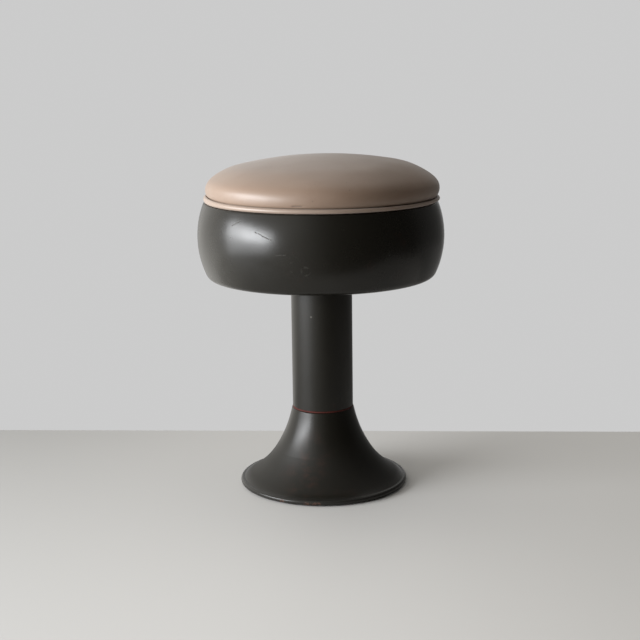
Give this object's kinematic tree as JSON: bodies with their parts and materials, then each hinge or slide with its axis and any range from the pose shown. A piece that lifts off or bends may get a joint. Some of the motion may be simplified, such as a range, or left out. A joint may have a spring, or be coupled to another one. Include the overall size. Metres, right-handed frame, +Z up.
{
  "type": "swivel stool",
  "caption": "Low swivel stool: trumpet base, round column, bulging spun drum and a crowned leather pad with piping; column, drum and pad turn on the base.",
  "frame": {"origin": "on the swivel axis at floor level, the bottom centre of the bounding box", "axes": "+Z up along the swivel axis; -Y towards the viewer of the picture; +X to the viewer's right"},
  "size_m": [0.3549, 0.355, 0.4844],
  "materials": {
    "charcoal_paint": "satin",
    "cast_iron": "matte",
    "machined_steel": "satin",
    "zinc_steel": "satin",
    "cast_aluminium": "satin",
    "bronze": "satin",
    "red_fibre": "matte",
    "black_rubber": "matte",
    "plywood": "matte",
    "foam": "matte",
    "taupe_leather": "satin",
    "welt_leather": "satin"
  },
  "bodies": {
    "pedestal": {"base_shell": "charcoal_paint", "ballast": "cast_iron", "foot_ring": "black_rubber", "spacer_tube": "machined_steel", "spindle": "machined_steel", "spindle_washer": "zinc_steel", "spindle_nut": "zinc_steel", "swivel_ring": "red_fibre", "lower_race": "machined_steel", "keeper_clip": "zinc_steel"},
    "cage": {"ball_cage": "bronze", "bearing_balls": "machined_steel"},
    "seat": {"upper_race": "machined_steel", "column_tube": "charcoal_paint", "lower_plug": "cast_aluminium", "lower_bush": "bronze", "upper_plug": "cast_aluminium", "upper_bush": "bronze", "column_flange": "charcoal_paint", "keeper_washer": "zinc_steel", "drum_shell": "charcoal_paint", "tie_bolts": "zinc_steel", "tie_washers": "zinc_steel", "tee_nuts": "zinc_steel", "seat_board": "plywood", "seat_foam": "foam", "seat_cover": "taupe_leather", "seat_welt": "welt_leather"}
  },
  "joints": [
    {"name": "seat_swivel", "type": "hinge", "parent": "pedestal", "child": "seat", "pos_m": [0, 0, 0.2], "axis": [0, 0, 1], "continuous": true},
    {"name": "cage_roll", "type": "hinge", "parent": "pedestal", "child": "cage", "pos_m": [0, 0, 0.128], "axis": [0, 0, 1], "continuous": true}
  ],
  "couplings": [
    {"joint": "cage_roll", "follows": "seat_swivel", "ratio": 0.5}
  ]
}
